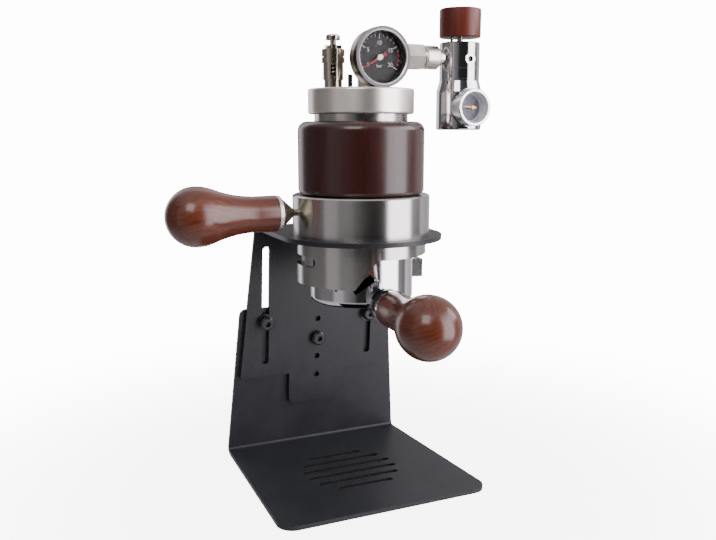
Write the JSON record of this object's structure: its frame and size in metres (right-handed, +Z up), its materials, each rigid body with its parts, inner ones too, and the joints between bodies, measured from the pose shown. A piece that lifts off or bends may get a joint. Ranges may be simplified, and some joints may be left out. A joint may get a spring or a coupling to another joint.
{
  "type": "manual espresso maker on a stand",
  "caption": "Lever-free manual espresso maker: wood-sleeved water vessel with a bayonet portafilter, gauge, relief valve and gas regulator on a folded steel stand.",
  "frame": {"origin": "on the brewing axis, at the underside of the base", "axes": "+Z up along the brewing axis, -Y towards the portafilter handle, +X towards the gas regulator, +Y towards the stand's back plate"},
  "size_m": [0.2169, 0.2196, 0.3223],
  "materials": {
    "black_steel": "satin",
    "black_screws": "satin",
    "brushed_steel": "brushed",
    "satin_steel": "satin",
    "spring_steel": "polished",
    "chrome": "polished",
    "nickel": "nickel-plated",
    "dark_wood": "lacquered",
    "rosewood": "lacquered",
    "red_wood": "lacquered",
    "silicone": "matt",
    "black_dial": "matt",
    "grey_dial": "matt",
    "lens_glass": "clear",
    "red_paint": "satin",
    "white_rim": "gloss",
    "brass": "polished"
  },
  "bodies": {
    "stand": {"base_bracket": "black_steel", "side_screws": "black_screws", "side_washers": "black_screws", "side_nuts": "black_screws"},
    "slider": {"height_slider": "black_steel", "lock_screw": "black_screws"},
    "brewer": {"group_body": "brushed_steel", "water_chamber": "satin_steel", "chamber_seal": "silicone", "wood_sleeve": "dark_wood", "group_gasket": "silicone", "shower_screen": "satin_steel", "screen_screw": "satin_steel", "side_handle_cone": "chrome", "side_handle_grip": "rosewood", "side_handle_stud": "spring_steel"},
    "portafilter": {"portafilter_body": "chrome", "portafilter_ferrule": "chrome", "portafilter_grip": "rosewood", "portafilter_stud": "spring_steel", "filter_basket": "satin_steel", "basket_clip": "spring_steel"},
    "lid_thread": {"lid_seal": "silicone"},
    "lid": {"lid": "satin_steel", "lid_pin": "black_screws", "gauge_post": "nickel", "relief_valve_body": "nickel", "relief_valve_cap": "nickel", "relief_spring": "spring_steel", "gauge_case": "nickel", "gauge_bezel": "nickel", "gauge_lens": "lens_glass", "gauge_dial": "black_dial", "gauge_tube": "brass", "inlet_adapter": "nickel", "coupler_body": "nickel"},
    "relief_stem": {"relief_valve_stem": "nickel"},
    "gauge_pointer": {"gauge_needle": "red_paint"},
    "sleeve": {"coupler_sleeve": "nickel"},
    "gas_plug": {"quick_plug": "spring_steel"},
    "regulator": {"regulator_body": "chrome", "cartridge_holder": "chrome", "cartridge_seal": "silicone", "piercing_pin": "spring_steel", "port_plug": "nickel", "regulator_piston": "brass", "regulator_spring": "spring_steel", "mini_gauge_case": "white_rim", "mini_gauge_dial": "grey_dial", "mini_gauge_lens": "lens_glass"},
    "knob_thread": {"spring_button": "brass"},
    "knob": {"knob_spindle": "spring_steel", "knob_pin": "spring_steel", "regulator_knob": "red_wood"},
    "mini_pointer": {"mini_gauge_needle": "brass"}
  },
  "joints": [
    {"name": "stand_height", "type": "slide", "parent": "stand", "child": "slider", "axis": [0, -0.0872, 0.9962], "range_m": [-0.028, 0.03]},
    {"name": "brewer_lift", "type": "slide", "parent": "slider", "child": "brewer", "axis": [0, 0, 1], "range_m": [0, 0.024]},
    {"name": "portafilter_turn", "type": "hinge", "parent": "brewer", "child": "portafilter", "pos_m": [0, 0, 0.16], "axis": [0, 0, 1], "range_deg": [-45, 0]},
    {"name": "lid_rise", "type": "slide", "parent": "brewer", "child": "lid_thread", "axis": [0, 0, 1], "range_m": [0, 0.006]},
    {"name": "lid_turn", "type": "hinge", "parent": "lid_thread", "child": "lid", "pos_m": [0, 0, 0.26], "axis": [0, 0, 1], "range_deg": [0, 360]},
    {"name": "relief_pull", "type": "slide", "parent": "lid", "child": "relief_stem", "axis": [0, 0, 1], "range_m": [0, 0.003], "stiffness_N_per_m": 2000, "springref_m": -0.003, "deforming": ["relief_spring"]},
    {"name": "gauge_needle_turn", "type": "hinge", "parent": "lid", "child": "gauge_pointer", "pos_m": [0.0056, -0.0155, 0.2875], "axis": [0, 1, 0], "range_deg": [0, 240], "stiffness_Nm_per_rad": 0.0004},
    {"name": "sleeve_pull", "type": "slide", "parent": "lid", "child": "sleeve", "axis": [-1, 0, 0], "range_m": [0, 0.002], "stiffness_N_per_m": 1500, "springref_m": -0.001},
    {"name": "plug_pull", "type": "slide", "parent": "lid", "child": "gas_plug", "axis": [1, 0, 0], "range_m": [0, 0.015]},
    {"name": "regulator_swivel", "type": "hinge", "parent": "gas_plug", "child": "regulator", "pos_m": [0.0731, 0, 0.29], "axis": [1, 0, 0], "continuous": true},
    {"name": "knob_feed", "type": "slide", "parent": "regulator", "child": "knob_thread", "axis": [0, 0, 1], "range_m": [-0.000833, 0], "deforming": ["regulator_spring"]},
    {"name": "knob_turn", "type": "hinge", "parent": "knob_thread", "child": "knob", "pos_m": [0.0731, 0, 0.31], "axis": [0, 0, 1], "range_deg": [-300, 0]},
    {"name": "mini_needle_turn", "type": "hinge", "parent": "regulator", "child": "mini_pointer", "pos_m": [0.0731, -0.0102, 0.2574], "axis": [0, 1, 0], "range_deg": [0, 200], "stiffness_Nm_per_rad": 0.0002}
  ],
  "couplings": [
    {"joint": "lid_rise", "follows": "lid_turn", "m_per_rad": 0.00095493},
    {"joint": "knob_turn", "follows": "knob_feed", "rad_per_m": 6283.2}
  ]
}
